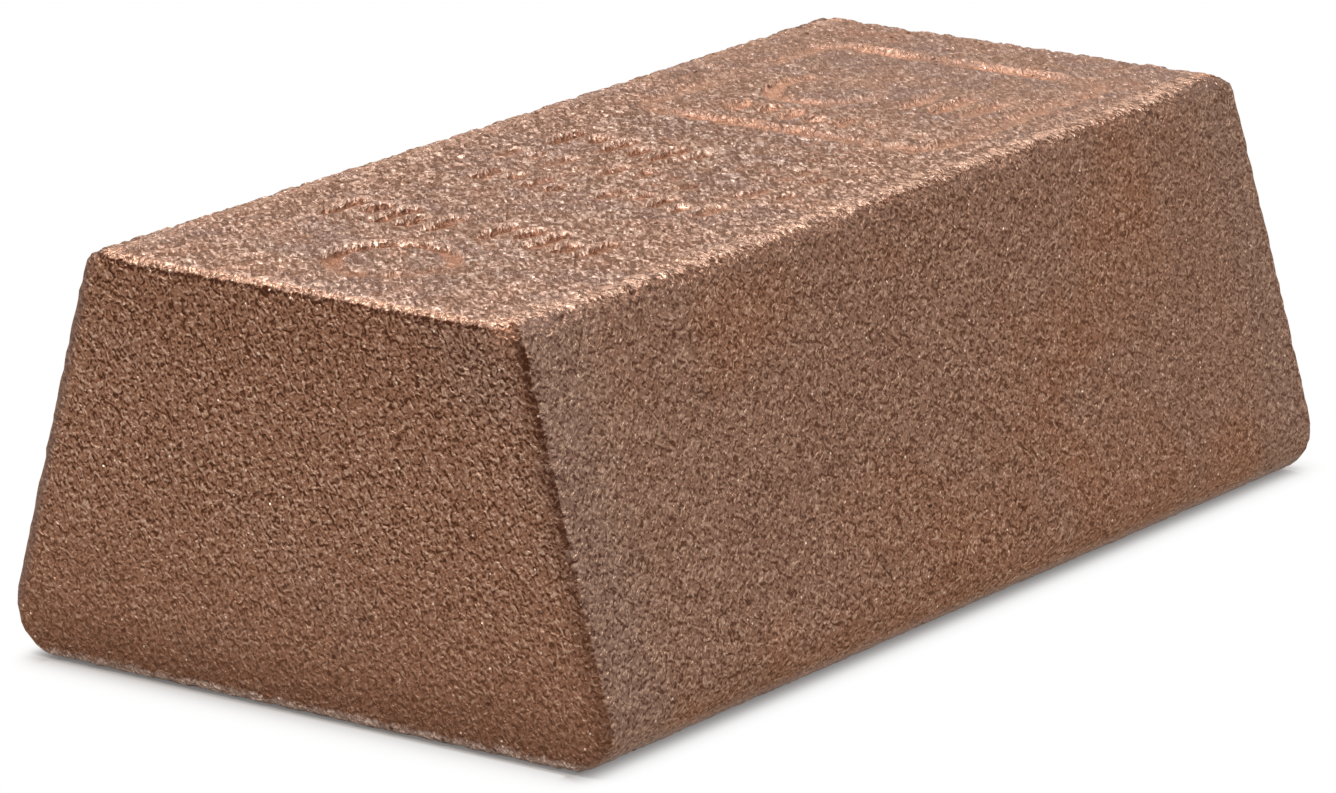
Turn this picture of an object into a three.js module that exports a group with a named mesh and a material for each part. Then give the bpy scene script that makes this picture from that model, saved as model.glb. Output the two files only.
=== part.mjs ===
// A cast copper ingot: one solid loaf with leaning flanks, lying on its wide face.
// Units are millimetres, +Z is up and the bar runs along X. The origin is the centre of the base.
import * as THREE from 'three';

// The bar over all
const length = 86.7;            // along X, at the base
const width = 50.7;             // along Y, across the rounded heels
const height = 29.3;

// Its section: straight flanks run smoothly from the heel roundings to the crown roundings
const crownWidth = 34.3;        // flat of the top, between the crown roundings
const heelRadius = 3.65;        // long edges at the base
const crownRadius = 1.55;       // long edges at the top

// Its ends
const endDraft = 0.9;           // degrees that each end leans in, from base to top
const endEdgeRadius = 0.7;      // rounding all round each end face

// How finely the roundings are faceted
const longEdgeSteps = 12;
const endEdgeSteps = 5;

const castCopper = new THREE.MeshStandardMaterial({
  name: 'cast_copper',
  color: new THREE.Color().setRGB(0.62, 0.47, 0.39, THREE.SRGBColorSpace),
  roughness: 0.6,
  metalness: 0.85,
});

// The angle of the flank's outward normal, where one straight line touches both roundings
function flankLean(heel, crown) {
  const rise = crown.clone().sub(heel);
  return rise.angle() - Math.acos((heelRadius - crownRadius) / rise.length());
}

// The section across the bar, counter-clockwise from the base: x is the bar's Y and y is its Z
function sectionShape() {
  const heel = new THREE.Vector2(width / 2 - heelRadius, heelRadius);
  const crown = new THREE.Vector2(crownWidth / 2, height - crownRadius);
  const lean = flankLean(heel, crown);
  const section = new THREE.Shape();
  section.absarc(heel.x, heel.y, heelRadius, -Math.PI / 2, lean, false);
  section.absarc(crown.x, crown.y, crownRadius, lean, Math.PI / 2, false);
  section.absarc(-crown.x, crown.y, crownRadius, Math.PI / 2, Math.PI - lean, false);
  section.absarc(-heel.x, heel.y, heelRadius, Math.PI - lean, 1.5 * Math.PI, false);
  return section;
}

// The section run along X, with the edge round each end face rolled over
function barGeometry() {
  const bar = new THREE.ExtrudeGeometry(sectionShape(), {
    depth: length - 2 * endEdgeRadius,
    curveSegments: longEdgeSteps,
    bevelThickness: endEdgeRadius,
    bevelSize: endEdgeRadius,
    bevelOffset: -endEdgeRadius,
    bevelSegments: endEdgeSteps,
  });
  bar.translate(0, 0, endEdgeRadius - length / 2);
  const acrossUpAlong = new THREE.Matrix4().makeBasis(
    new THREE.Vector3(0, 1, 0),
    new THREE.Vector3(0, 0, 1),
    new THREE.Vector3(1, 0, 0),
  );
  return bar.applyMatrix4(acrossUpAlong);
}

// Leans both ends in by their draft, so that the bar is shortest at the top
function leanEnds(bar) {
  const slope = Math.tan(THREE.MathUtils.degToRad(endDraft));
  const place = bar.getAttribute('position');
  for (let i = 0; i < place.count; i += 1) {
    const x = place.getX(i);
    place.setX(i, x - Math.sign(x) * place.getZ(i) * slope);
  }
  bar.computeVertexNormals();
  return bar;
}

const ingot = new THREE.Mesh(leanEnds(barGeometry()), castCopper);
ingot.name = 'ingot';

const model = new THREE.Group();
model.add(ingot);

export default model;
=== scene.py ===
"""A sand-cast copper ingot on a plain white floor.

One closed skin is laid over the loaf of the frame: a fine sheet wraps the flanks and the top, the
edge round each end rolls over into an end cap, and a coarse sheet closes the base. The skin carries
the marks, the waves and the crumbled edges; sand grain finer than its cells is bump.
"""
import math

import bpy
import numpy as np
from mathutils import Euler, Matrix, Vector, geometry, noise


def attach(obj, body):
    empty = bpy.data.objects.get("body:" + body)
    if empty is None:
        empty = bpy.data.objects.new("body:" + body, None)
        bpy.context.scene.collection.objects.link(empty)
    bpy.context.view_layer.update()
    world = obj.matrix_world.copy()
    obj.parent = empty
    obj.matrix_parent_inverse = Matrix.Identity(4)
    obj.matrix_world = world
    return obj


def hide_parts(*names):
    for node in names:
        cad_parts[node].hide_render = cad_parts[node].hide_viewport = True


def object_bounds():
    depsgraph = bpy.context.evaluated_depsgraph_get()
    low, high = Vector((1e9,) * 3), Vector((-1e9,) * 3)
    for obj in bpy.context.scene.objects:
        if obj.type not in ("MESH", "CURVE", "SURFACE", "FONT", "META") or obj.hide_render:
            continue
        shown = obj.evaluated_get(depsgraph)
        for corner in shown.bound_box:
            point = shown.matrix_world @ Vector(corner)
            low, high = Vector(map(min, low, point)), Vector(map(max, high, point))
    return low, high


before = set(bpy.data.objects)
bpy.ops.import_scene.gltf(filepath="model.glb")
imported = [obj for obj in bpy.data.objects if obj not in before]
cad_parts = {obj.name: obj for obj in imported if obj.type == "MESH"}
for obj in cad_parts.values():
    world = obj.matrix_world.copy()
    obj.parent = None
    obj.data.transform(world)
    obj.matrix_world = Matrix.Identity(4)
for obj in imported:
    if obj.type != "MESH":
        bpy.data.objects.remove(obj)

bl_info = {
    "name": "Cast copper ingot",
    "version": (1, 0, 0),
    "blender": (4, 5, 0),
    "location": "View3D > Sidebar > Ingot",
    "description": "Lays a cast skin with plain marks over a copper loaf, and lights it",
    "category": "Add Mesh",
}

MM = 0.001
CAD_LOW, CAD_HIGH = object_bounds()

# The mesh of the skin
SKIN_LIMIT = 200_000
ROW_HEIGHT = 0.866  # of a cell, between the rows of even triangles
RIM_CLEARANCE = 0.55  # of a cell, from a rim to the first points inside it
JITTER_SHARE = 0.28  # of a cell
GRAIN_TURN = Euler((0.61, 0.37, 0.93))  # keeps the lattice of every noise off the faces' planes
PIT_PLACE_SEED, PIT_SIZE_SEED, JITTER_SEED = 7, 8, 11

# Borders of the marks: how ragged they are, and the raised rim just outside them
BORDER_WOBBLE, BORDER_SPAN, BORDER_GRIT = 0.14 * MM, 1.3 * MM, 0.10 * MM
RIM_CENTRE, RIM_FLAT, RIM_REACH = 0.35 * MM, 0.10 * MM, 0.35 * MM
FAR_BORDER_REACH = 0.15 * MM
PRESS_SPAN = 9.0 * MM  # of the patches that the stamp met well or badly

# Where the marks lie on the top, in millimetres from the bar's middle
FRAME_CENTRE, FRAME_HALF, FRAME_CORNER = (23.1, -0.4), (12.1, 12.4), 2.2
RINGS = ((-33.9, -0.6), 4.1, 1.0), ((22.6, 3.6), 3.9, 1.1)  # centre, radius, breadth of the stroke
RULE_X, RULES_Y, RULE_HALF, RULE_CORNER = 24.6, (-3.9, -6.6, -9.3), (3.4, 0.7), 0.6
SHORT_BAR, BAR_ROUNDNESS = 0.62, 0.9  # of a long bar's length, and of half a bar's width
BAR_ROWS = (  # centre along X, first bar along Y, bars in each group, pitch, length and width
    (-24.1, 11.2, (5, 5), 2.15, 4.6, 1.20),
    (-11.3, 8.6, (4, 5), 2.10, 3.2, 1.15),
    (-5.8, 11.4, (3, 4, 2), 2.35, 3.3, 1.20),
    (0.4, 10.5, (6, 4), 2.20, 4.0, 1.20),
    (15.2, 6.0, (8,), 2.3, 2.6, 1.20),
)

# Spans of the noises in the metal, in millimetres
STRAND_SPAN, CROSSING_SPAN, CURL_SPAN, FRINGE_SPAN = 0.40, 0.42, 0.60, 0.36
TEAR_SPAN, LUMP_SPAN, BREAK_SPAN = 1.1, 1.6, 2.2
FLUSH_SPAN, DUSK_SPAN, PATCH_SPAN, FILM_SPAN = 3.2, 5.5, 13.0, 34.0
# Shifts that give each strand a painted lit side and a painted shaded side: painted relief light
STRAND_RISE, CROSSING_RISE = (0.0, -0.03, 0.11), (0.06, 0.10, 0.02)  # to a strand's bright side
COMBED = (1.0, 0.45, 0.45)  # draws the fringe of the long crests out across them
SPARKS = {"spacing": 0.85, "radius": 0.056, "rarity": 0.72}
SPECKS = {"spacing": 1.15, "radius": 0.12, "rarity": 0.72}

# Stage
SHADOW_REACH = 5.1 * MM, 5.0 * MM  # from the bar's foot to plain white, along X and Y
SENSOR_WIDTH = 36.0  # in millimetres
CAMERA_CLIP = 0.01, 20.0
WHITE = (1.0, 1.0, 1.0)


# ---- Sizes and colours that a user would change ----
def number(name, description, default, **settings):
    """A single value."""
    return bpy.props.FloatProperty(name=name, description=description, default=default, **settings)


def size(name, description, millimetres):
    """A length, written in millimetres and held in metres."""
    return number(name, description, millimetres * MM, unit="LENGTH", precision=5)


def angle(name, description, degrees):
    """An angle, written in degrees."""
    return number(name, description, math.radians(degrees), subtype="ANGLE")


def spot(name, description, millimetres):
    """A place, written in millimetres and held in metres."""
    return bpy.props.FloatVectorProperty(
        name=name, description=description, default=[way * MM for way in millimetres], size=3,
        subtype="TRANSLATION")


def share(name, description, default):
    """A factor from 0 to 1."""
    return number(name, description, default, min=0.0, max=1.0, subtype="FACTOR")


def colour(name, description, default):
    """A colour, in linear red, green and blue."""
    return bpy.props.FloatVectorProperty(
        name=name, description=description, default=default, size=3, subtype="COLOR")


class LoafShape(bpy.types.PropertyGroup):
    """The loaf's section and edges, as the frame has them"""
    crown_width: size("Crown width", "Flat of the top between the crown roundings", 34.3)
    heel_radius: size("Heel radius", "Rounding of the long edges at the base", 3.65)
    crown_radius: size("Crown radius", "Rounding of the long edges at the top", 1.55)
    end_edge_radius: size("End edge radius", "Rounding all round each end face", 0.7)
    end_draft: angle("End draft", "How far each end leans in", 0.9)


class SkinCells(bpy.types.PropertyGroup):
    """How finely each stretch of the skin is divided"""
    top: size("Top", "Cell size on the top and its roundings", 0.222)
    flank: size("Flank", "Cell height up the flanks and round the heels", 0.66)
    end_face: size("End face", "Cell size on the end faces", 0.50)
    base: size("Base", "Cell size on the hidden base", 2.4)


class CastSkin(bpy.types.PropertyGroup):
    """Relief that the sand mould leaves in the metal"""
    swell: size("Swell", "Depth of the slow waves over each face", 0.08)
    swell_span: size("Swell span", "Length of those waves", 12.0)
    ripple: size("Ripple", "Depth of the ripples in the mould's wall", 0.045)
    ripple_span: size("Ripple span", "Length of those ripples", 2.6)
    grit: size("Grit", "Depth of the coarsest sand grains on the top", 0.15)
    side_grit: size("Side grit", "Depth of the coarsest sand grains on the sides", 0.07)
    grit_span: size("Grit span", "Size of the coarsest sand grains", 0.45)
    crest_wander: size("Crest wander", "How far the top edges crumble inwards", 0.15)
    side_wander: size("Side wander", "How far the upright and base edges crumble inwards", 0.06)
    edge_span: size("Edge span", "Length of the crumbled stretches", 1.5)
    edge_reach: size("Edge reach", "How far the crumbling reaches from an edge", 0.8)
    pit_depth: size("Pit depth", "Depth of the gas pits", 0.30)
    pit_radius: size("Pit radius", "Radius of the gas pits", 0.34)
    pit_count: bpy.props.IntProperty(
        name="Pits", description="Number of gas pits over the whole bar", default=130)


class CastMarks(bpy.types.PropertyGroup):
    """Plain marks pressed into the top"""
    depth: size("Depth", "Depth of the marks", 0.40)
    wall: size("Wall", "Width of a mark's sloping wall", 0.50)
    frame_stroke: size("Frame stroke", "Width of the square frame's groove", 1.5)
    ring_stroke: size("Ring stroke", "Width of a ring's groove", 1.25)
    # The burr rises along the borders that lean points to, the far side of each mark as the camera sees
    # it; the metal paints shade on the walls below them and a highlight on their lips.
    burr: size("Burr", "Height of the lip on the side that the stamp leaned to", 0.09)
    lean: angle("Lean", "Direction that the stamp leaned to", 37.0)


class CopperColours(bpy.types.PropertyGroup):
    """The cast metal and the films on it"""
    warm: colour("Warm brown", "Thin brown oxide over copper", (0.284, 0.136, 0.080))
    mauve: colour("Grey mauve", "Thicker greyish oxide", (0.268, 0.166, 0.126))
    # The pale film and the top strands' grey bloom are partly a painted sheen of grazing light on the
    # top
    pale: colour("Pale film", "Dry pinkish oxide on the top", (0.282, 0.172, 0.126))
    dusk: colour("Dusk film", "Greyer patches on the top", (0.244, 0.161, 0.135))
    flush: colour("Flush", "Reddish patches on the top", (0.350, 0.190, 0.130))
    # The strand colours go where the painted relief light is high: bare crests, and partly painted
    # highlight on the strands' lit sides.
    strand: colour("Strand", "Bare crests of the sand grain", (0.52, 0.345, 0.250))
    top_strand: colour("Top strand", "Crests on the top, with a dry grey bloom", (0.64, 0.485, 0.402))
    rosy_strand: colour("Rosy strand", "Crests on the top, with a thin pink film", (0.74, 0.520, 0.415))
    # The two colours between the grains: oxide in the hollows, and also painted shade on the strands'
    # shaded sides. The first is also painted shade low on the faces and beside the -Y upright edges.
    hollow_and_shade: colour("Hollow", "Soot and oxide between the grains", (0.066, 0.020, 0.008))
    top_hollow_and_shade: colour("Top hollow", "Brown oxide between the grains on the top", (0.126, 0.064, 0.043))
    # The rubbed-metal colours: wear along the crests, partly painted highlight; the short edges' colour
    # also lightens the far marks as painted light.
    worn: colour("Worn edge", "Metal rubbed bare along the short edges", (0.53, 0.297, 0.200))
    bared: colour("Bared edge", "Metal rubbed bare along the long edges", (0.60, 0.385, 0.285))
    salmon: colour("Salmon", "Clean metal on the walls of the marks", (0.47, 0.240, 0.150))
    rust: colour("Rust", "Red brown oxide in the hollows of the marks", (0.300, 0.128, 0.072))
    # The dark red: a painted dark reflection down the -Y upright edges, painted shade under the crowns
    # and on the far walls of the marks; it also darkens specks and gas pits.
    seam: colour("Seam", "Dark red oxide down the upright edges", (0.064, 0.019, 0.008))
    # The dull grey: laid under the crests near the upright edges, and down the +Y upright edges
    ash: colour("Ash", "Dull grey film along an upright edge", (0.175, 0.112, 0.092))
    # The grey along the base edges is a painted reflection of the white floor
    floor_reflection_grey: colour("Dust", "Dry grey film along the base edges", (0.38, 0.295, 0.260))
    # Spark: small crystals painted bright as glints, and the painted glints on the curled foot of the
    # ends
    spark: colour("Spark", "Single bright crystals", (0.85, 0.66, 0.52))
    edge_tint: colour("Edge tint", "Reflection of the metal at grazing light", (0.85, 0.66, 0.52))


class FeltedSkin(bpy.types.PropertyGroup):
    """Fine strands that cover the whole skin"""
    relief: size("Relief", "Height of the strands", 0.22)
    roughness: share("Roughness", "Roughness of the metal between the strands", 0.56)
    metallic: share("Metallic", "How much of the skin is bare metal", 0.85)
    stroke: angle("Stroke", "Direction in which the top was drawn off", 50.0)
    top_stretch: number("Top stretch", "How much longer the strands are along the stroke", 2.6)


class Studio(bpy.types.PropertyGroup):
    """Camera, floor and light"""
    azimuth: angle("Azimuth", "Where the camera stands round the bar", -53.66)
    elevation: angle("Elevation", "How high the camera stands", 15.57)
    roll: angle("Roll", "Tilt of the camera about its own line of sight", -0.60)
    distance: size("Distance", "From the camera to the point it looks at", 530.0)
    aim: spot("Aim", "Point that the camera looks at", (0.43, 1.89, 11.56))
    lens: number("Lens", "Focal length on a 36 mm sensor", 202.6, unit="CAMERA")
    sky: share("Sky", "Strength of the even light from all round", 0.62)
    lamp: number("Lamp", "Power of the overhead lamp", 5.2, unit="POWER")
    lamp_size: size("Lamp size", "Diameter of the overhead lamp", 550.0)
    lamp_place: spot("Lamp place", "Where the overhead lamp hangs", (-40.0, 100.0, 640.0))
    floor_half: size("Floor half", "From the bar to each side of the floor", 3000.0)
    paper: colour("Paper", "The floor's paper", (0.9, 0.9, 0.9))
    # The paper near the bar is painted darker: a painted shadow
    painted_shadow_paper: colour("Shaded paper", "The same paper where it meets the bar", (0.38, 0.35, 0.33))
    shadow: share("Shadow", "How much of the shadow at the bar's foot is kept", 0.88)


# ---- The skin: places and normals of the smooth loaf ----
def steps(length, cell):
    """How many equal cells of about that size fit a length."""
    return max(2, round(length / cell))


def stretch(start, end, cell):
    """Points along a straight stretch, without its last one."""
    start, end = np.array(start), np.array(end)
    count = steps(np.linalg.norm(end - start), cell)
    share_along = np.arange(count)[:, None] / count
    return start + (end - start) * share_along


def bend(centre, radius, start, end, cell):
    """Points and normals round an arc, without its last one."""
    count = steps(abs(end - start) * radius, cell)
    bearing = start + (end - start) * np.arange(count) / count
    out = np.stack([np.cos(bearing), np.sin(bearing)], 1)
    return np.array(centre) + radius * out, out


class Loaf:
    """The smooth bar: its section across Y and Z, and its reach along X."""

    def __init__(self, shape, cells):
        self.shape, self.cells = shape, cells
        self.half_length, self.height = CAD_HIGH.x, CAD_HIGH.z
        self.edge = shape.end_edge_radius
        self.straight = self.half_length - self.edge
        self.slope = math.tan(shape.end_draft)
        self.heel = np.array([CAD_HIGH.y - shape.heel_radius, shape.heel_radius])
        self.crown = np.array([shape.crown_width / 2, self.height - shape.crown_radius])
        rise = self.crown - self.heel
        between = shape.heel_radius - shape.crown_radius
        self.lean = math.atan2(rise[1], rise[0]) - math.acos(between / np.hypot(*rise))
        self.out = np.array([math.cos(self.lean), math.sin(self.lean)])

    def rising_side(self):
        """Points and normals from the +Y heel up to the foot of the crown."""
        heel = bend(self.heel, self.shape.heel_radius, -math.pi / 2, self.lean, self.cells.flank)
        foot = self.heel + self.shape.heel_radius * self.out
        head = self.crown + self.shape.crown_radius * self.out
        flank = stretch(foot, head, self.cells.flank)
        return np.vstack([heel[0], flank]), np.vstack([heel[1], np.tile(self.out, (len(flank), 1))])

    def over_the_top(self):
        """Points and normals from the foot of the +Y crown over the top to the foot of the other."""
        cell = self.cells.top
        crown = bend(self.crown, self.shape.crown_radius, self.lean, math.pi / 2, cell)
        top = stretch([self.crown[0], self.height], [0.0, self.height], cell)
        half = np.vstack([crown[0], top]), np.vstack([crown[1], np.tile([0.0, 1.0], (len(top), 1))])
        middle = [[0.0, self.height]], [[0.0, 1.0]]
        return tuple(np.vstack([part, centre, mirrored(part)]) for part, centre in zip(half, middle))

    def base_line(self):
        """Points and normals across the base, between the two heels, both left out."""
        line = stretch([-self.heel[0], 0.0], [self.heel[0], 0.0], self.cells.end_face)[1:]
        return line, np.tile([0.0, -1.0], (len(line), 1))


def mirrored(section):
    """The same points on the other side of the bar, in the opposite order."""
    return section[::-1] * np.array([-1.0, 1.0])


class Skin:
    """Vertices and faces of the closed skin, built up sheet by sheet."""

    def __init__(self):
        self.places, self.normals, self.faces = [], [], []
        self.count = 0

    def add(self, places, normals):
        """Adds vertices and gives their numbers."""
        numbers = np.arange(self.count, self.count + len(places))
        self.places.append(np.asarray(places, float))
        self.normals.append(np.asarray(normals, float))
        self.count += len(places)
        return numbers

    def sheet(self, section, stations):
        """A sheet that carries one section along the stations, as a table of vertex numbers."""
        places, normals = section
        rows = [self.add(in_space(places, x), in_space(normals, 0.0)) for x in stations]
        for first, second in zip(rows[:-1], rows[1:]):
            self.bridge(first, second)
        return np.array(rows)

    def bridge(self, first, second):
        """Quads between two rows of vertices."""
        self.faces.append(np.stack([first[:-1], first[1:], second[1:], second[:-1]], 1))

    def stitch(self, coarse, fine, turned):
        """Triangles from a row to one with twice as many cells."""
        left, middle, right = fine[0:-2:2], fine[1:-1:2], fine[2::2]
        near, far = coarse[:-1], coarse[1:]
        made = np.vstack([np.stack(corners, 1) for corners in
                          ((near, left, middle), (near, middle, far), (far, middle, right))])
        self.faces.append(made[:, ::-1] if turned else made)

    def fill(self, rim, flat_rim, cell, lift, normal, turned):
        """Closes a flat rim with even triangles. lift puts a flat point back in space."""
        low, high = flat_rim.min(0) + cell / 2, flat_rim.max(0) - cell / 2
        columns, rows = np.arange(low[0], high[0], cell), np.arange(low[1], high[1], cell * ROW_HEIGHT)
        grid = np.array([[x + (row % 2) * cell / 2, y] for row, y in enumerate(rows) for x in columns])
        grid = grid[distance_inside(grid, np.vstack([flat_rim, flat_rim[:1]])) > cell * RIM_CLEARANCE]
        points = [Vector(point) for point in np.vstack([flat_rim, grid])]
        made = geometry.delaunay_2d_cdt(points, [], [list(range(len(rim)))], 1, 1e-9)
        numbers = np.concatenate([rim, self.add(lift(grid), np.tile(normal, (len(grid), 1)))])
        origin = np.array([sources[0] for sources in made[3]])
        corners = numbers[origin[np.array(made[2])]]
        self.faces.append(corners[:, ::-1] if turned else corners)


def distance_inside(points, rim):
    """How far each point lies inside a convex rim that runs counter-clockwise."""
    start, run = rim[:-1], np.diff(rim, axis=0)
    length = np.linalg.norm(run, axis=1)
    keep = length > 0
    start, run, length = start[keep], run[keep], length[keep]
    nearest = np.full(len(points), np.inf)
    for origin, direction, reach in zip(start, run, length):
        offset = points - origin
        depth = (direction[0] * offset[:, 1] - direction[1] * offset[:, 0]) / reach
        nearest = np.minimum(nearest, depth)
    return nearest


def in_space(section, x):
    """Section points or directions, with one x put before them."""
    return np.column_stack([np.full(len(section), x), section])


def round_off_end(skin, loaf, row, section, side):
    """Rolls one end of the skin over into its end face, and closes it."""
    base_places, base_normals = loaf.base_line()
    places, normals = np.vstack([section[0], base_places]), np.vstack([section[1], base_normals])
    base_row = skin.add(in_space(base_places, side * loaf.straight), in_space(base_normals, 0.0))
    previous = np.concatenate([row, base_row])
    turns = steps(loaf.edge * math.pi / 2, loaf.cells.top)
    for turn in range(1, turns + 1):
        rolled = math.pi / 2 * turn / turns
        inset = loaf.edge * (1 - math.cos(rolled))
        normal = in_space(normals * math.cos(rolled), side * math.sin(rolled))
        x = side * (loaf.straight + loaf.edge * math.sin(rolled))
        ring_row = skin.add(in_space(places - normals * inset, x), normal)
        pair = (previous, ring_row) if side > 0 else (ring_row, previous)
        skin.bridge(*(np.append(one, one[0]) for one in pair))
        previous = ring_row
    skin.fill(previous, places - normals * loaf.edge, loaf.cells.end_face,
              lambda grid: in_space(grid, side * loaf.half_length), (side, 0.0, 0.0), turned=side < 0)
    return base_row


def lay_skin(loaf):
    """The whole closed skin of the smooth loaf: places, normals and faces."""
    skin = Skin()
    cells_each_way = steps(loaf.straight, loaf.cells.top)
    stations = np.linspace(-loaf.straight, loaf.straight, 2 * cells_each_way + 1)
    rising, over = loaf.rising_side(), loaf.over_the_top()
    falling = tuple(mirrored(part) for part in rising)
    right = skin.sheet(rising, stations[::2])
    top = skin.sheet(over, stations)
    left = skin.sheet(falling, stations[::2])
    skin.stitch(right[:, -1], top[:, 0], turned=False)
    skin.stitch(left[:, 0], top[:, -1], turned=True)
    section = tuple(np.vstack(parts) for parts in zip(rising, over, falling))
    base_rows = {}
    for side, end in ((-1, 0), (1, -1)):
        row = np.concatenate([right[end], top[end], left[end]])
        base_rows[side] = round_off_end(skin, loaf, row, section, side)
    rim = np.concatenate([left[:, -1], base_rows[1], right[::-1, 0], base_rows[-1][::-1]])
    flat = np.vstack(skin.places)[rim][:, :2]
    skin.fill(rim, flat, loaf.cells.base, lambda grid: np.column_stack([grid, np.zeros(len(grid))]),
              (0.0, 0.0, -1.0), turned=True)
    return np.vstack(skin.places), np.vstack(skin.normals), skin.faces


# ---- Relief: what the sand, the stamp and handling do to the smooth loaf ----
def smooth_step(value, low, high):
    """0 below low, 1 above high, and an even curve between them."""
    t = np.clip((value - low) / (high - low), 0.0, 1.0)
    return t * t * (3 - 2 * t)


def sand_noise(places, span, shift, octaves=1):
    """Noise from about -1 to 1 at each place, with features about one span across.

    shift moves the noise, so that each use has a pattern of its own.
    """
    offset = np.array((shift, shift * 1.7, shift * 0.3))
    turned = places @ np.array(GRAIN_TURN.to_matrix()) / span + offset
    basis = {"noise_basis": "PERLIN_ORIGINAL"}
    if octaves == 1:
        found = [noise.noise(place, **basis) for place in turned]
    else:
        found = [noise.fractal(place, 1.0, 2.0, octaves, **basis) for place in turned]
    return np.array(found)


def rounded_bar(x, y, centre, half, corner):
    """Signed distance to a bar with rounded corners, below 0 inside."""
    across = np.abs(x - centre[0]) - half[0] + corner
    along = np.abs(y - centre[1]) - half[1] + corner
    outside = np.hypot(np.maximum(across, 0), np.maximum(along, 0))
    return outside + np.minimum(np.maximum(across, along), 0) - corner


def ring(x, y, centre, radius, stroke):
    """Signed distance to a ring's groove."""
    return np.abs(np.hypot(x - centre[0], y - centre[1]) - radius) - stroke / 2


def bar_row(x, y, centre_x, start_y, groups, pitch, length, width):
    """Signed distance to a row of bars that lie along X, in groups with a gap between them."""
    nearest = np.full(len(x), np.inf)
    at = start_y
    for count in groups:
        for nth in range(count):
            reach = length * (1.0 if nth % 2 == 0 else SHORT_BAR)
            half = (reach / 2, width / 2)
            shift = (length - reach) / 2 * (-1) ** (nth // 2)
            bar = rounded_bar(x, y, (centre_x + shift, at), half, half[1] * BAR_ROUNDNESS)
            nearest = np.minimum(nearest, bar)
            at -= pitch
        at -= pitch
    return nearest


def mark_distance(x, y, marks):
    """Signed distance to the nearest mark on the top."""
    x, y = x / MM, y / MM
    frame_stroke, ring_stroke = marks.frame_stroke / MM, marks.ring_stroke / MM
    square = rounded_bar(x, y, FRAME_CENTRE, FRAME_HALF, FRAME_CORNER)
    found = [np.abs(square) - frame_stroke / 2]
    found += [ring(x, y, centre, radius, ring_stroke * breadth) for centre, radius, breadth in RINGS]
    found += [bar_row(x, y, *row) for row in BAR_ROWS]
    found += [rounded_bar(x, y, (RULE_X, rule_y), RULE_HALF, RULE_CORNER) for rule_y in RULES_Y]
    return np.minimum.reduce(found) * MM


def far_border_of_marks(x, y, marks):
    """1 along the borders of a mark on the side that lean points to, its far side as the camera sees
    it, and -1 along the others.
    """
    across, along = math.cos(marks.lean) * FAR_BORDER_REACH, math.sin(marks.lean) * FAR_BORDER_REACH
    ahead = mark_distance(x + across, y + along, marks)
    behind = mark_distance(x - across, y - along, marks)
    return np.clip((ahead - behind) / (2 * FAR_BORDER_REACH), -1, 1)


def stamp_press(places, facing_up):
    """How firmly the stamp met each place of the top, from 0 to 1.

    It met the far end and the ring's end firmly, the middle lightly, and the frame's far side least.
    """
    x, y = places[:, 0] / MM, places[:, 1] / MM
    firm = 0.88 + 0.12 * smooth_step(np.abs(x), 6.0, 20.0)
    firm += 0.30 * smooth_step(-x, 6.0, 12.0)
    firm += 0.45 * smooth_step(x, 30.0, 34.0)
    firm *= 1 - 0.6 * smooth_step(y, 7.0, 11.0) * (x > 8.0)
    patchy = np.clip(0.64 + 1.3 * sand_noise(places, PRESS_SPAN, shift=126.5), 0.2, 1.0)
    return np.minimum(patchy * firm, 1) * smooth_step(facing_up, 0.95, 0.999)


def edge_distances(loaf, places):
    """Distance of each place to the crests, the upright edges and the base edges.

    drop runs across a crest: below 0 on the top, above 0 on a side. turn runs round an upright edge:
    above 0 on an end face, below 0 on a long side.
    """
    x, y, z = np.abs(places[:, 0]), np.abs(places[:, 1]), places[:, 2]
    out = loaf.out
    head = loaf.crown + loaf.shape.crown_radius * out
    flank = np.maximum((head[0] - y) * out[0] + (head[1] - z) * out[1], 0)
    top = np.maximum(loaf.height - z, 0)
    end = np.maximum(loaf.half_length - x, 0)
    base = np.maximum(z, 0)
    return {
        "crest": np.minimum(np.hypot(top, flank) * 0.8, np.hypot(top, end)),
        "upright": np.hypot(end, flank),
        "foot": np.minimum(np.hypot(end, base), np.hypot(flank, base)),
        "drop": np.maximum(top - end, top - flank),
        "turn": flank - end,
    }


def crumbled(edges, places, skin):
    """How far the sand let each edge crumble inwards."""
    crumble = np.clip(0.45 + 0.9 * sand_noise(places, skin.edge_span, shift=21.7, octaves=3), 0, 1)
    wanders = {"crest": skin.crest_wander, "upright": skin.side_wander, "foot": skin.side_wander}
    near = {edge: 1 - smooth_step(edges[edge], 0.2 * skin.edge_reach, 1.6 * skin.edge_reach)
            for edge in wanders}
    return sum(wanders[edge] * near[edge] for edge in wanders) * crumble


def gas_pits(places, skin):
    """Depth of the round gas pits, scattered over the whole skin."""
    chosen = np.random.default_rng(PIT_PLACE_SEED).choice(len(places), skin.pit_count, replace=False)
    fullness = np.random.default_rng(PIT_SIZE_SEED).uniform(0.45, 1.0, skin.pit_count) ** 2
    depth = np.zeros(len(places))
    for centre, full in zip(places[chosen], fullness):
        away = np.linalg.norm(places - centre, axis=1)
        pit = skin.pit_depth * full * (1 - smooth_step(away, 0, skin.pit_radius * (0.5 + full)))
        depth = np.maximum(depth, pit)
    return depth


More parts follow.
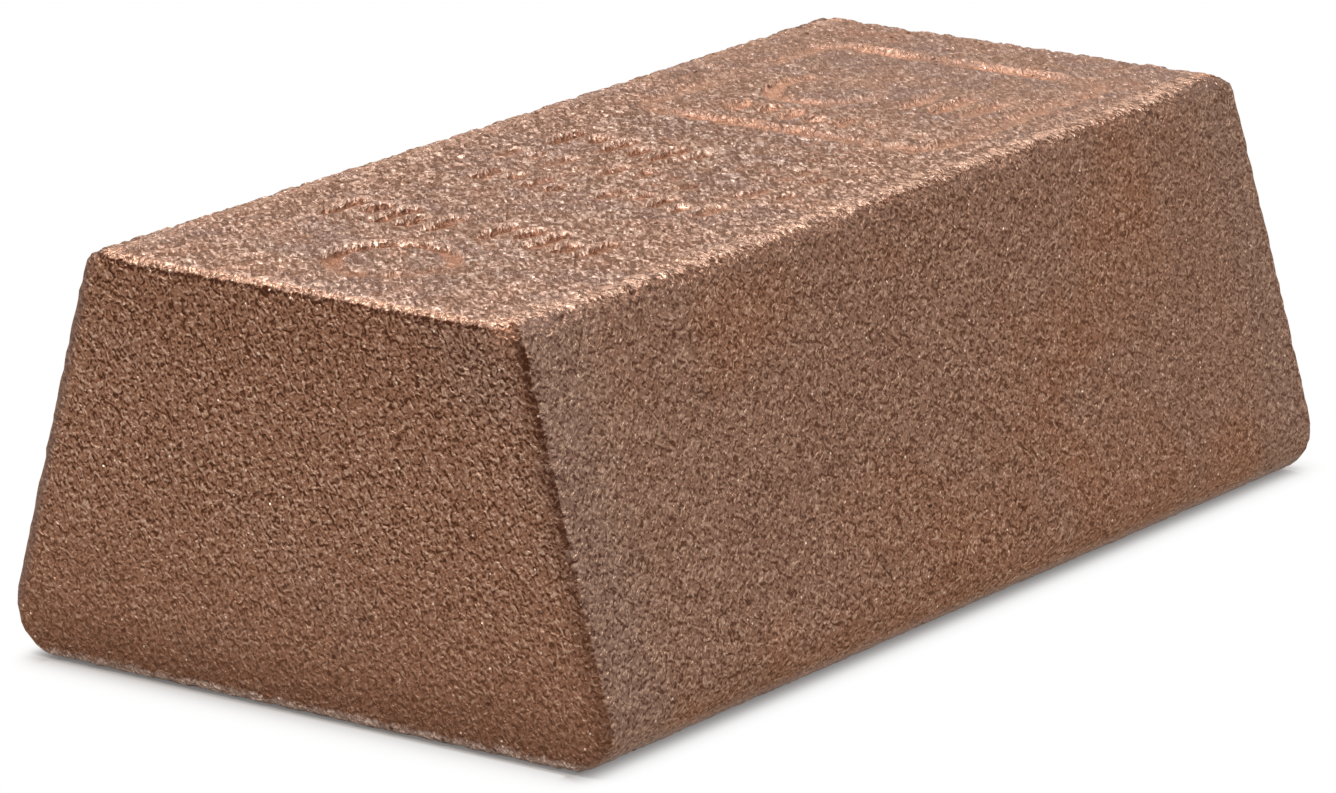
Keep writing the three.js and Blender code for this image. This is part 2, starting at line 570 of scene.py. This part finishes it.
def weather(loaf, places, normals, skin, marks):
    """How far each place sinks below the smooth loaf, and the masks that the metal is painted with."""
    edges = edge_distances(loaf, places)
    facing_up = normals[:, 2]
    upward = smooth_step(facing_up, 0.3, 0.9)
    grain = sand_noise(places, skin.grit_span, shift=5.3)
    grain += 0.4 * sand_noise(places, skin.grit_span * 1.9, shift=2.2)
    grain = smooth_step(grain, -0.32, 0.32)
    pits = gas_pits(places, skin)

    wobble = BORDER_WOBBLE * sand_noise(places, BORDER_SPAN, shift=40.2, octaves=2)
    gap = mark_distance(places[:, 0], places[:, 1], marks) + wobble + BORDER_GRIT * (grain - 0.5)
    far_border = far_border_of_marks(places[:, 0], places[:, 1], marks)
    press = stamp_press(places, facing_up)
    carved = press * (1 - smooth_step(gap, -marks.wall / 2, marks.wall / 2))
    rim = press * (1 - smooth_step(np.abs(gap - RIM_CENTRE), RIM_FLAT, RIM_REACH))

    sink = skin.swell * (0.5 + 0.5 * sand_noise(places, skin.swell_span, shift=3.1))
    sink += skin.ripple * (0.5 + 0.5 * sand_noise(places, skin.ripple_span, shift=9.4, octaves=2))
    sink += crumbled(edges, places, skin) + pits + marks.depth * carved
    grit = skin.side_grit + (skin.grit - skin.side_grit) * upward
    sink += grit * (1 - grain) * (1 - 0.75 * carved) * (1 - 0.6 * rim)
    burr = marks.burr * rim * np.clip(far_border, 0, 1)

    masks = {
        "grain": 0.5 + (grain - 0.5) * (0.25 + 0.75 * upward),
        "end": np.abs(normals[:, 0]),
        "press": press,
        "pit": np.clip(pits / skin.pit_depth, 0, 1),
        "mark_gap": np.clip(gap / MM, -2, 2),
        "far_border": far_border,
        "drop": np.clip(edges["drop"] / MM, -9, 9),
        "turn": np.clip(edges["turn"] / MM, -9, 9),
        "margin": 1 - smooth_step(edges["crest"], 2.0 * MM, 9.0 * MM),
    }
    return np.maximum(sink - sink.min() - burr, 0), masks


def jitter(places, normals, reach):
    """Small shifts along the skin, so that no row of the mesh shows."""
    shift = np.random.default_rng(JITTER_SEED).uniform(-reach, reach, places.shape)
    return shift - normals * (shift * normals).sum(1)[:, None]


def ingot_mesh(shape, cells, skin, marks):
    """The finished mesh of the cast skin, with its painted masks."""
    loaf = Loaf(shape, cells)
    places, normals, sheets = lay_skin(loaf)
    over_the_section = (normals[:, 2] > -0.5) & (np.abs(normals[:, 0]) < 0.5)
    places += jitter(places, normals, JITTER_SHARE * cells.top) * over_the_section[:, None]
    sink, masks = weather(loaf, places, normals, skin, marks)
    places = places - normals * sink[:, None]
    places[:, 0] *= 1 - places[:, 2] * loaf.slope / loaf.half_length
    places[:, 2] -= places[:, 2].min()
    faces = [face for sheet in sheets for face in sheet.tolist()]
    mesh = bpy.data.meshes.new("cast_skin")
    mesh.from_pydata(places.tolist(), [], faces)
    mesh.validate()
    for name, values in masks.items():
        layer = mesh.attributes.new(name, "FLOAT", "POINT")
        layer.data.foreach_set("value", values.astype(np.float32))
    mesh.shade_smooth()
    triangles = sum(len(face) - 2 for face in faces)
    if triangles >= SKIN_LIMIT:
        raise RuntimeError(f"the skin has {triangles} triangles, and {SKIN_LIMIT} is the limit")
    return mesh


# ---- Shader maths ----
class Term:
    """A socket that takes part in plain Python expressions."""

    def __init__(self, paint, socket):
        self.paint, self.socket = paint, socket

    def __add__(self, other):
        return self.paint.math("ADD", self, other)

    __radd__ = __add__

    def __sub__(self, other):
        return self.paint.math("SUBTRACT", self, other)

    def __rsub__(self, other):
        return self.paint.math("SUBTRACT", other, self)

    def __mul__(self, other):
        return self.paint.math("MULTIPLY", self, other)

    __rmul__ = __mul__

    def __abs__(self):
        return self.paint.math("ABSOLUTE", self)

    def clamped(self):
        """The value kept from 0 to 1."""
        return self.paint.math("ADD", self, 0.0, clamp=True)

    def rise(self, low, high):
        """0 below low, 1 above high, and an even curve between them."""
        return self.paint.node("ShaderNodeMapRange", {"interpolation_type": "SMOOTHSTEP"},
                               {"Value": self, "From Min": low, "From Max": high})

    def fall(self, low, high):
        """1 below low, 0 above high, and an even curve between them."""
        return 1 - self.rise(low, high)

    def band(self, low, full_from, full_to, high):
        """1 between the two middle values, and 0 outside the outer ones."""
        return self.rise(low, full_from) * self.fall(full_to, high)


class Paint:
    """Nodes of one material or world."""

    def __init__(self, owner):
        owner.use_nodes = True
        self.tree = owner.node_tree
        self.tree.nodes.clear()

    def node(self, kind, settings=None, values=None, output=0):
        """Adds a node, its settings first, and gives one of its outputs, or a tuple of them, as Terms.

        A colour among the values is written without its alpha.
        """
        made = self.tree.nodes.new(kind)
        for name, value in (settings or {}).items():
            setattr(made, name, value)
        for name, value in (values or {}).items():
            into = made.inputs[name]
            if isinstance(value, Term):
                self.tree.links.new(value.socket, into)
            else:
                into.default_value = (*value, 1.0) if into.type == "RGBA" else value
        if isinstance(output, tuple):
            return tuple(Term(self, made.outputs[name]) for name in output)
        return Term(self, made.outputs[output]) if made.outputs else None

    def math(self, operation, *values, clamp=False):
        """One Math node on the given values."""
        return self.node("ShaderNodeMath", {"operation": operation, "use_clamp": clamp},
                         dict(enumerate(values)))

    def vector(self, operation, first, second):
        """One Vector Math node."""
        return self.node("ShaderNodeVectorMath", {"operation": operation}, {0: first, 1: second})

    def ways(self, place):
        """The three coordinates of a place, each as a number."""
        return self.node("ShaderNodeSeparateXYZ", {}, {0: place}, output=(0, 1, 2))

    def mix(self, amount, first, second):
        """Mixes two colours."""
        return self.node("ShaderNodeMix", {"data_type": "RGBA", "clamp_factor": True},
                         {0: amount, 6: first, 7: second}, output=2)

    def blend(self, amount, first, second):
        """Mixes two shaders."""
        return self.node("ShaderNodeMixShader", {}, {0: amount, 1: first, 2: second})

    def coats(self, shade, *coats):
        """Lays coats over a colour one after another, each as how much of it shows and its colour."""
        for amount, coat in coats:
            shade = self.mix(amount, shade, coat)
        return shade

    def mask(self, name):
        """A mask painted on the mesh."""
        return self.node("ShaderNodeAttribute", {"attribute_name": name}, output=2)

    def noise(self, place, span, detail=2.0, roughness=0.5, distortion=0.0):
        """Noise with features about one span across, span in millimetres."""
        values = {"Vector": place, "Scale": 1 / span, "Detail": detail, "Roughness": roughness,
                  "Distortion": distortion}
        return self.node("ShaderNodeTexNoise", {}, values)


# ---- The metal. Lengths in its expressions are in millimetres. ----
def in_grain(paint, place):
    """A place in millimetres, turned so that no noise lies along a face."""
    turned = paint.node("ShaderNodeVectorRotate", {"rotation_type": "EULER_XYZ"},
                        {"Vector": place, "Rotation": GRAIN_TURN})
    return paint.vector("MULTIPLY", turned, (1 / MM,) * 3)


def felted_grain(paint, place, detail, curliness):
    """Height of the felted skin, and its painted relief light: how far each place lies on the painted
    lit side of its strands, below 0 on the painted shaded side.
    """
    def strands(at, span, way=None):
        if way:
            at = paint.vector("ADD", at, tuple(GRAIN_TURN.to_matrix() @ Vector(way)))
        return paint.noise(at, span, detail, distortion=0.8)

    crossing = paint.vector("ADD", place, (31.0, 22.0, 40.0))
    height = strands(place, STRAND_SPAN)
    # Painted relief light: a strand is painted lit where its height falls towards STRAND_RISE or
    # CROSSING_RISE, and painted shaded where it rises.
    painted_relief_light = (height - strands(place, STRAND_SPAN, STRAND_RISE)) * 3.6
    painted_relief_light += (strands(crossing, CROSSING_SPAN) - strands(crossing, CROSSING_SPAN, CROSSING_RISE)) * 3.0
    curls = abs(paint.noise(crossing, CURL_SPAN, 0.3, distortion=1.0) - 0.5).fall(0.0, 0.07)
    return height + curls * 0.3, painted_relief_light + (curls - 0.4) * curliness


def scattered(paint, place, spacing, radius, rarity):
    """Small round dots, one in some of the cells of that spacing."""
    away, tint = paint.node("ShaderNodeTexVoronoi", {}, {"Vector": place, "Scale": 1 / spacing},
                            output=("Distance", "Color"))
    lot = paint.node("ShaderNodeSeparateColor", {}, {0: tint})
    return away.fall(radius / spacing, radius * 2 / spacing) * lot.rise(rarity, rarity + 0.04)


class CastSurface:
    """What all layers of the metal share: where a point lies, its edges, its marks and its sand grain.

    drop and turn run across the crests and round the upright edges, as edge_distances gives them, but
    torn by the sand. calm grows along the bar, where the grain lies lower. level goes from about 0
    between the grains to about 1 on a strand's crest, and carries painted light: the strands' painted
    relief light, and painted lighter and darker stretches on the end faces and the long sides.
    """

    def __init__(self, paint, felt):
        self.paint = paint
        here = paint.node("ShaderNodeTexCoord", output="Object")
        self.along, self.side, self.up = (way * (1 / MM) for way in paint.ways(here))
        self.place = in_grain(paint, here)
        self.end, self.press = paint.mask("end"), paint.mask("press")
        self.foot = self.up.fall(0.5, 5.5)
        self.calm = self.along.rise(0.0, 36.0)
        self.lumps = paint.noise(self.place, LUMP_SPAN, roughness=0.55)
        self.patches = paint.noise(self.place, PATCH_SPAN, 2.5, 0.55, 0.6)
        drawn = paint.node("ShaderNodeVectorRotate", {"rotation_type": "Z_AXIS"},
                           {"Vector": here, "Angle": felt.stroke})
        drawn = paint.vector("MULTIPLY", drawn, (1.0, 1 / felt.top_stretch, 1.0))
        self.fine, fine_painted_light = felted_grain(paint, self.place, 0.4, 0.3)
        self.broad, broad_painted_light = felted_grain(paint, in_grain(paint, drawn), 0.0, 0.7)
        self.find_edges(in_grain(paint, paint.vector("MULTIPLY", here, COMBED)))
        self.find_marks()
        self.find_grain(fine_painted_light, broad_painted_light)

    def find_edges(self, comb):
        """How far a point is round each edge."""
        paint = self.paint
        torn = (paint.noise(self.place, TEAR_SPAN, 3.0, 0.65) - 0.5) * 1.3 + (self.fine - 0.5) * 0.35
        self.fringe = paint.noise(comb, FRINGE_SPAN, 1.0, distortion=1.0) + (self.fine - 0.5) * 0.30
        self.turn = paint.mask("turn") + torn * 0.6
        combed = 0.62 - (self.fringe - 0.5) * 2.4 + self.turn.rise(-12.0, -1.5) * 0.95
        self.drop = paint.mask("drop") + torn + self.turn.fall(-0.3, 2.5) * combed
        self.torn_up = self.up + torn
        self.reflection_up = self.up + torn * 0.4
        self.top = self.drop.fall(0.22, 0.46)
        self.flat = self.drop.fall(-1.3, 0.0)
        self.down = self.drop.rise(0.25, 0.6)
        self.endwise = paint.mask("turn").rise(-0.6, 0.4)
        self.far_side = self.side.rise(5.0, 15.0)
        self.crest = (self.drop + 1 - self.endwise).rise(-0.70, -0.25) * self.drop.fall(0.30, 0.42)
        self.crest *= (0.85 + 0.15 * self.endwise) * (1 - (1 - self.endwise) * self.far_side * 0.7)

    def find_marks(self):
        """The walls of the marks, and which of them lie along the far borders, where the marks get
        painted shade and a painted highlight.
        """
        ragged = (self.lumps - 0.5) * 0.5 + (self.broad - 0.5) * 0.3
        self.gap = self.paint.mask("mark_gap") + ragged
        self.far_walls = self.paint.mask("far_border").rise(-0.1, 0.75)
        self.wall = self.gap.fall(-0.04, 0.10) * self.press

    def find_grain(self, fine_painted_light, broad_painted_light):
        """The height of the strands, and how brightly each one shows, with the strands' painted relief
        light and painted brightening.
        """
        flat, top = self.flat, self.top
        strands = self.broad * flat + self.fine * (1 - flat)
        painted_relief_light = broad_painted_light * flat + fine_painted_light * (1 - flat)
        rubbed = self.drop.rise(-3.0, -0.6) * top * (1 - self.far_side * 0.5)
        # Painted light: the end faces lighter at mid height and darker near the foot and the top, and
        # the long sides lighter towards the -X end
        bright = (self.up.band(3.0, 12.0, 18.0, 28.0) - 0.5) * self.end * 0.14
        bright += self.along.fall(-38.0, -12.0) * (1 - self.end) * (1 - top) * 0.14
        grain = self.paint.mask("grain")
        self.height = strands * (1 - self.calm * flat * 0.35)
        self.level = 0.5 + bright + rubbed * 0.28 + (strands - 0.65) * 0.6 + (grain - 0.5) * 0.2
        self.level += painted_relief_light * (1 + top * 0.15) * (1 - self.wall * 0.4)
        self.lit = self.level.rise(0.10, 0.90)
        self.lit_ridge = self.level.rise(0.55, 1.45)


def oxide_films(paint, cast, colours):
    """Brown and mauve oxide on the sides, and paler pinkish films on the top, which are partly a
    painted sheen of grazing light.
    """
    def cloud(span, detail, roughness, low, high):
        return paint.noise(cast.place, span, detail, roughness, 0.5).rise(low, high)

    film = paint.noise(cast.place, FILM_SPAN, 1.0, distortion=0.4)
    corner = cast.turn.band(-9.0, -3.0, -0.2, 0.1)
    greyed = cast.patches * 0.7 + film * 0.6 - 0.15 + corner * 0.22 - cast.foot * 0.08 - cast.end * 0.05
    sides = paint.mix(greyed.rise(0.42, 0.58) * (0.45 + 0.30 * corner), colours.warm, colours.mauve)
    dry = paint.coats(colours.pale,
                      (cloud(DUSK_SPAN, 2.0, 0.6, 0.46, 0.60) * 0.9, colours.dusk),
                      (cloud(FLUSH_SPAN, 2.5, 0.65, 0.54, 0.66) * 0.55, colours.flush))
    return paint.mix(cast.top * 0.92, sides, dry)


def sand_strands(paint, cast, colours, shade):
    """Bare crests of the strands and the oxide between them, laid by the painted relief light, so they
    are partly painted highlight and painted shade; with painted shade low on the faces.
    """
    # bite: how strongly the strands' painted light and shade show; weaker low on the end faces, towards
    # +X and on the far top
    bite = 0.88 + 0.18 * cast.end * (1 - cast.foot * 0.9) - 0.12 * cast.calm
    bite += (0.04 - 0.30 * cast.calm) * cast.top - cast.up.fall(2.0, 15.0) * cast.end * 0.34
    rosy = (paint.mask("margin") * 0.85 + cast.patches - 0.30).rise(0.10, 0.75)
    # The top's paler strands are partly a painted sheen of grazing light
    bloom = paint.mix(rosy, colours.top_strand, colours.rosy_strand)
    strand = paint.mix(cast.top, colours.strand, bloom)
    hollow_and_shade = paint.mix(cast.top, colours.hollow_and_shade, colours.top_hollow_and_shade)
    return paint.coats(shade,
                       (cast.lit_ridge * 0.78 * bite, strand),
                       (cast.level.fall(-0.45, 0.45) * 0.88 * bite, hollow_and_shade),
                       # Painted shade: darker towards the foot, most on the end faces
                       (cast.foot * (0.10 + 0.26 * cast.end), colours.hollow_and_shade))


def marked_metal(paint, cast, colours, shade):
    """Clean metal on the walls of the marks, with painted shade on their far walls and a painted
    highlight on the lips above them, and the far marks painted lighter.
    """
    gap, lumps, far_walls = cast.gap, cast.lumps, cast.far_walls
    # Painted light: the marks towards +X are painted lighter and less shaded
    far = cast.along.rise(2.0, 14.0)
    middle = cast.along.band(-17.0, -13.0, 4.0, 8.0)
    bed = paint.coats(colours.rust,
                      ((lumps * 2 - 0.6 + far * 0.8).clamped(), colours.salmon),
                      (far * 0.55, colours.worn))
    burr = paint.mix(0.5 + far * 0.5, colours.top_strand, colours.worn)
    smear = gap.fall(0.05, 0.60) * cast.press * (1 - far_walls) * lumps.rise(0.40, 0.62)
    bare = (cast.wall * (0.40 + 0.60 * lumps) + smear * middle * 0.35).clamped()
    # Painted shade on the walls below the far borders, darkest where the painted relief light is low
    groove = cast.wall * gap.rise(-0.95, -0.35) * far_walls * (1.15 - 0.8 * cast.lit).clamped()
    # Painted highlight along the lips of the far borders
    lip = gap.rise(-0.02, 0.08) * (gap * (1.6 - 1.1 * far_walls)).fall(0.22, 0.50) * cast.press
    lip *= (0.15 + 0.85 * far_walls) * (0.20 + 0.75 * cast.lit).clamped()
    return paint.coats(shade,
                       (smear * 0.45, colours.salmon),
                       (bare, bed),
                       (groove * (0.66 - 0.46 * far), colours.seam),
                       (lip * (0.85 - 0.15 * far), burr))


def crest_metal(paint, cast, colours, shade):
    """Metal rubbed bare along the crests, partly a painted highlight, with a painted glint on the end
    crests, over a dark line of painted shade under the crown: even at the ends, combed along the sides.
    """
    drop, endwise, fringe = cast.drop, cast.endwise, cast.fringe
    dark_gap = (1 - endwise) * fringe.fall(0.43, 0.52) * 0.8
    bare = cast.lit * endwise + fringe.rise(0.48, 0.56) * (1 - endwise)
    bare = (0.10 + 0.85 * bare + 0.15 * endwise).clamped()
    # Painted highlight: a glint on the end crests
    glint = endwise * cast.level.rise(0.6, 1.1) * 0.28
    # Painted shade: a dark line under the crown, so that the crown turns sharply from light to shade
    under = drop.band(0.36, 0.46, 0.60, 0.94) * (0.62 + 0.38 * endwise)
    # A duller grey under the crests near the upright edges
    near_corner = cast.turn.rise(-14.0, -2.0) * (1 - endwise) * drop.band(0.40, 0.60, 1.2, 3.0)
    return paint.coats(shade,
                       (cast.crest * dark_gap, colours.top_hollow_and_shade),
                       (cast.crest * bare, paint.mix(endwise, colours.bared, colours.worn)),
                       (cast.crest * glint, colours.rosy_strand),
                       (under * (1.20 - 0.6 * cast.lit).clamped() * 0.92, colours.seam),
                       (near_corner * 0.45, colours.ash))


def upright_metal(paint, cast, colours, shade):
    """A painted dark reflection down the upright edges of the -Y side, with painted shade beside it, a
    dull grey line down those of the +Y side, and bare tips.
    """
    turn, down, lit = cast.turn, cast.down, cast.lit
    broken = paint.noise(cast.place, BREAK_SPAN, roughness=0.6).rise(0.40, 0.58)
    # 1 on the +Y side of the bar, 0 on the -Y side
    plus_y_side = cast.side.rise(-2.0, 2.0)
    # Painted shade beside the upright edge, and a painted dark reflection down it, darker higher up and
    # where the painted relief light is low
    beside = turn.band(-0.1, 0.2, 0.8, 2.4) * down
    seam = turn.band(-0.10, 0.05, 0.30, 1.15) * down * (0.60 + 0.40 * broken)
    seam *= (0.35 + 0.65 * cast.up.rise(2.0, 0.9 * CAD_HIGH.z / MM)) * (1.3 - 0.6 * lit).clamped()
    tip = turn.band(0.35, 0.8, 1.2, 3.4) * cast.drop.band(0.3, 0.5, 0.9, 3.0)
    tip *= (cast.lumps * 2 - 0.2).clamped() * (0.25 + 0.75 * lit)
    return paint.coats(shade,
                       (beside * (1 - plus_y_side) * 0.30, colours.hollow_and_shade),
                       (seam * (1 - plus_y_side), colours.seam),
                       (turn.band(-0.3, 0.0, 0.5, 1.4) * down * plus_y_side * 0.7, colours.ash),
                       (tip * (1 - plus_y_side), colours.salmon))


def foot_metal(paint, cast, colours, shade):
    """A painted reflection of the white floor along the foot: a pale curled rim with painted glints on
    the ends, and a grey band on the sides.
    """
    rim = cast.torn_up.fall(0.40, 1.0) * cast.end.rise(0.0, 0.6)
    curled = cast.level.rise(0.60, 0.95) * cast.lumps.rise(0.50, 0.62)
    return paint.coats(shade,
                       (rim * (0.50 + 0.35 * cast.lit), colours.top_strand),
                       (cast.reflection_up.fall(0.5, 2.1) * (1 - cast.end) * 0.65, colours.floor_reflection_grey),
                       (rim * curled * 0.7, colours.spark))


def cast_copper(colours, felt):
    """Bare sand-cast copper: fine curly grain with painted relief light, brown and mauve oxide, worn
    crests with painted highlights, and dark lines of painted shade and reflection along the edges.
    """
    material = bpy.data.materials.new("cast_copper")
    paint = Paint(material)
    cast = CastSurface(paint, felt)
    shade = oxide_films(paint, cast, colours)
    for layer in (sand_strands, marked_metal, crest_metal, upright_metal, foot_metal):
        shade = layer(paint, cast, colours, shade)
    speck = scattered(paint, paint.vector("ADD", cast.place, (7.0, 5.0, 3.0)), **SPECKS)
    # Sparks: lower roughness, and a bright colour that paints their glint
    spark = scattered(paint, cast.place, **SPARKS)
    shade = paint.coats(shade,
                        (speck * 0.75, colours.seam),
                        (paint.mask("pit").rise(0.25, 0.8) * 0.85, colours.seam),
                        (spark * 0.9, colours.spark))
    bump = paint.node("ShaderNodeBump", {},
                      {"Strength": 1.0, "Distance": felt.relief, "Height": cast.height})
    rough = felt.roughness - cast.lit_ridge * 0.10 - spark * 0.2 - cast.crest * 0.08
    surface = paint.node("ShaderNodeBsdfPrincipled", {}, {
        "Base Color": shade, "Roughness": rough.clamped(), "Metallic": felt.metallic, "Normal": bump,
        "Specular Tint": colours.edge_tint})
    paint.node("ShaderNodeOutputMaterial", {}, {"Surface": surface})
    return material


# ---- Stage ----
def white_seen(paint):
    """1 for the rays that show a background: the camera's, reflected ones and those through glass."""
    camera, glossy, through = paint.node(
        "ShaderNodeLightPath", output=("Is Camera Ray", "Is Glossy Ray", "Is Transmission Ray"))
    return (camera + glossy + through).clamped()


def past_bar(way, half, reach):
    """How far a coordinate lies past the bar: 0 at the bar, and 1 where its shadow has gone."""
    return way.paint.math("MAXIMUM", (abs(way) - half) * (1 / reach), 0.0)


def floor_material(heel, studio):
    """Matt white paper that runs out to plain white, and keeps the shadow at the bar's foot, with a
    painted shadow: the paper is painted darker near the bar, most in a band beside the long sides and
    least off the ends.
    """
    material = bpy.data.materials.new("white_floor")
    paint = Paint(material)
    along, side, _ = paint.ways(paint.node("ShaderNodeTexCoord", output="Object"))
    past_end = past_bar(along, CAD_HIGH.x, SHADOW_REACH[0])
    past_side = past_bar(side, CAD_HIGH.y - heel, SHADOW_REACH[1])
    away = paint.math("SQRT", past_end * past_end + past_side * past_side).clamped()
    # Painted shadow: a darker band beside the long sides, and less shadow off the ends
    core = past_side.band(0.02, 0.10, 0.22, 0.62) * past_end.fall(0.0, 0.3)
    open_end = (past_end * 2 - past_side).rise(-0.04, 0.16) * past_side.fall(0.0, 0.5)
    open_end *= 0.50 - 0.35 * (side * (1 / MM)).rise(-25.0, 20.0)
    shadow = studio.shadow * (1 - open_end) * (1 - away) * (1 - away)
    lift = (1 - shadow) * (1 - 0.5 * core)
    shaded, clear = (paint.node("ShaderNodeBsdfDiffuse", {}, {"Color": paper})
                     for paper in (studio.painted_shadow_paper, studio.paper))
    white = paint.node("ShaderNodeEmission", {}, {"Color": WHITE, "Strength": 1.0})
    seen = paint.blend(white_seen(paint) * lift, paint.blend(away, shaded, clear), white)
    paint.node("ShaderNodeOutputMaterial", {}, {"Surface": seen})
    return material


def light_world(strength):
    """An even pale light from all round, seen as plain white."""
    world = bpy.data.worlds.new("white_room")
    paint = Paint(world)
    light, white = (paint.node("ShaderNodeBackground", {}, {"Color": WHITE, "Strength": level})
                    for level in (strength, 1.0))
    paint.node("ShaderNodeOutputWorld", {}, {"Surface": paint.blend(white_seen(paint), light, white)})
    bpy.context.scene.world = world


def placed(name, data):
    """A new object in the scene."""
    made = bpy.data.objects.new(name, data)
    bpy.context.scene.collection.objects.link(made)
    return made


def place_camera(studio):
    """The camera, set by where it looks from, how it is tilted and its lens."""
    camera = placed("camera", bpy.data.cameras.new("camera"))
    around = Matrix.Rotation(studio.azimuth, 4, "Z")
    over = Matrix.Rotation(math.pi / 2 - studio.elevation, 4, "X")
    tilt = Matrix.Rotation(studio.roll, 4, "Z")
    back = Matrix.Translation((0, 0, studio.distance))
    camera.matrix_world = Matrix.Translation(studio.aim) @ around @ over @ tilt @ back
    camera.data.lens, camera.data.sensor_width = studio.lens, SENSOR_WIDTH
    camera.data.clip_start, camera.data.clip_end = CAMERA_CLIP
    bpy.context.scene.camera = camera


def place_lamp(studio):
    """One wide soft lamp overhead, a little behind the bar."""
    lamp = placed("overhead_lamp", bpy.data.lights.new("overhead_lamp", "AREA"))
    lamp.data.shape, lamp.data.size = "DISK", studio.lamp_size
    lamp.data.energy = studio.lamp
    lamp.location = studio.lamp_place
    lamp.rotation_euler = Vector(studio.lamp_place).to_track_quat("Z", "Y").to_euler()


def lay_floor(studio, heel):
    """The floor that the bar stands on."""
    half = studio.floor_half
    corners = [(-half, -half, 0), (half, -half, 0), (half, half, 0), (-half, half, 0)]
    mesh = bpy.data.meshes.new("floor")
    mesh.from_pydata(corners, [], [(0, 1, 2, 3)])
    mesh.materials.append(floor_material(heel, studio))
    floor = placed("floor", mesh)


# ---- Operators and panel ----
class INGOT_OT_bar(bpy.types.Operator):
    """Lays the cast skin over the loaf and gives it the metal"""
    bl_idname = "ingot.bar"
    bl_label = "Cast bar"

    def execute(self, context):
        scene = context.scene
        mesh = ingot_mesh(scene.loaf_shape, scene.skin_cells, scene.cast_skin, scene.cast_marks)
        bar = placed("cast_bar", mesh)
        mesh.materials.append(cast_copper(scene.copper_colours, scene.felted_skin))
        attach(bar, "root")
        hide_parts("ingot")
        return {"FINISHED"}


class INGOT_OT_stage(bpy.types.Operator):
    """Sets the floor, the light and the camera"""
    bl_idname = "ingot.stage"
    bl_label = "Stage"

    def execute(self, context):
        scene = context.scene
        lay_floor(scene.studio, scene.loaf_shape.heel_radius)
        light_world(scene.studio.sky)
        place_lamp(scene.studio)
        place_camera(scene.studio)
        scene.view_settings.view_transform = "Standard"
        return {"FINISHED"}


class INGOT_PT_panel(bpy.types.Panel):
    """The ingot's operators and sizes"""
    bl_label = "Cast copper ingot"
    bl_idname = "INGOT_PT_panel"
    bl_space_type = "VIEW_3D"
    bl_region_type = "UI"
    bl_category = "Ingot"

    def draw(self, context):
        for operator in OPERATORS:
            self.layout.operator(operator.bl_idname)
        for name, kind in GROUPS.items():
            box = self.layout.box()
            box.label(text=kind.__doc__)
            for value in kind.__annotations__:
                box.prop(getattr(context.scene, name), value)


GROUPS = {
    "loaf_shape": LoafShape,
    "skin_cells": SkinCells,
    "cast_skin": CastSkin,
    "cast_marks": CastMarks,
    "copper_colours": CopperColours,
    "felted_skin": FeltedSkin,
    "studio": Studio,
}
OPERATORS = (INGOT_OT_bar, INGOT_OT_stage)
CLASSES = (*GROUPS.values(), *OPERATORS, INGOT_PT_panel)


def register():
    """Makes the ingot's classes and sizes known."""
    for kind in CLASSES:
        bpy.utils.register_class(kind)
    for name, kind in GROUPS.items():
        setattr(bpy.types.Scene, name, bpy.props.PointerProperty(type=kind))


def unregister():
    """Takes them away again."""
    for name in GROUPS:
        delattr(bpy.types.Scene, name)
    for kind in reversed(CLASSES):
        bpy.utils.unregister_class(kind)


def main():
    """Makes the bar and its stage."""
    register()
    bpy.ops.ingot.bar()
    bpy.ops.ingot.stage()


if __name__ == "__main__":
    main()
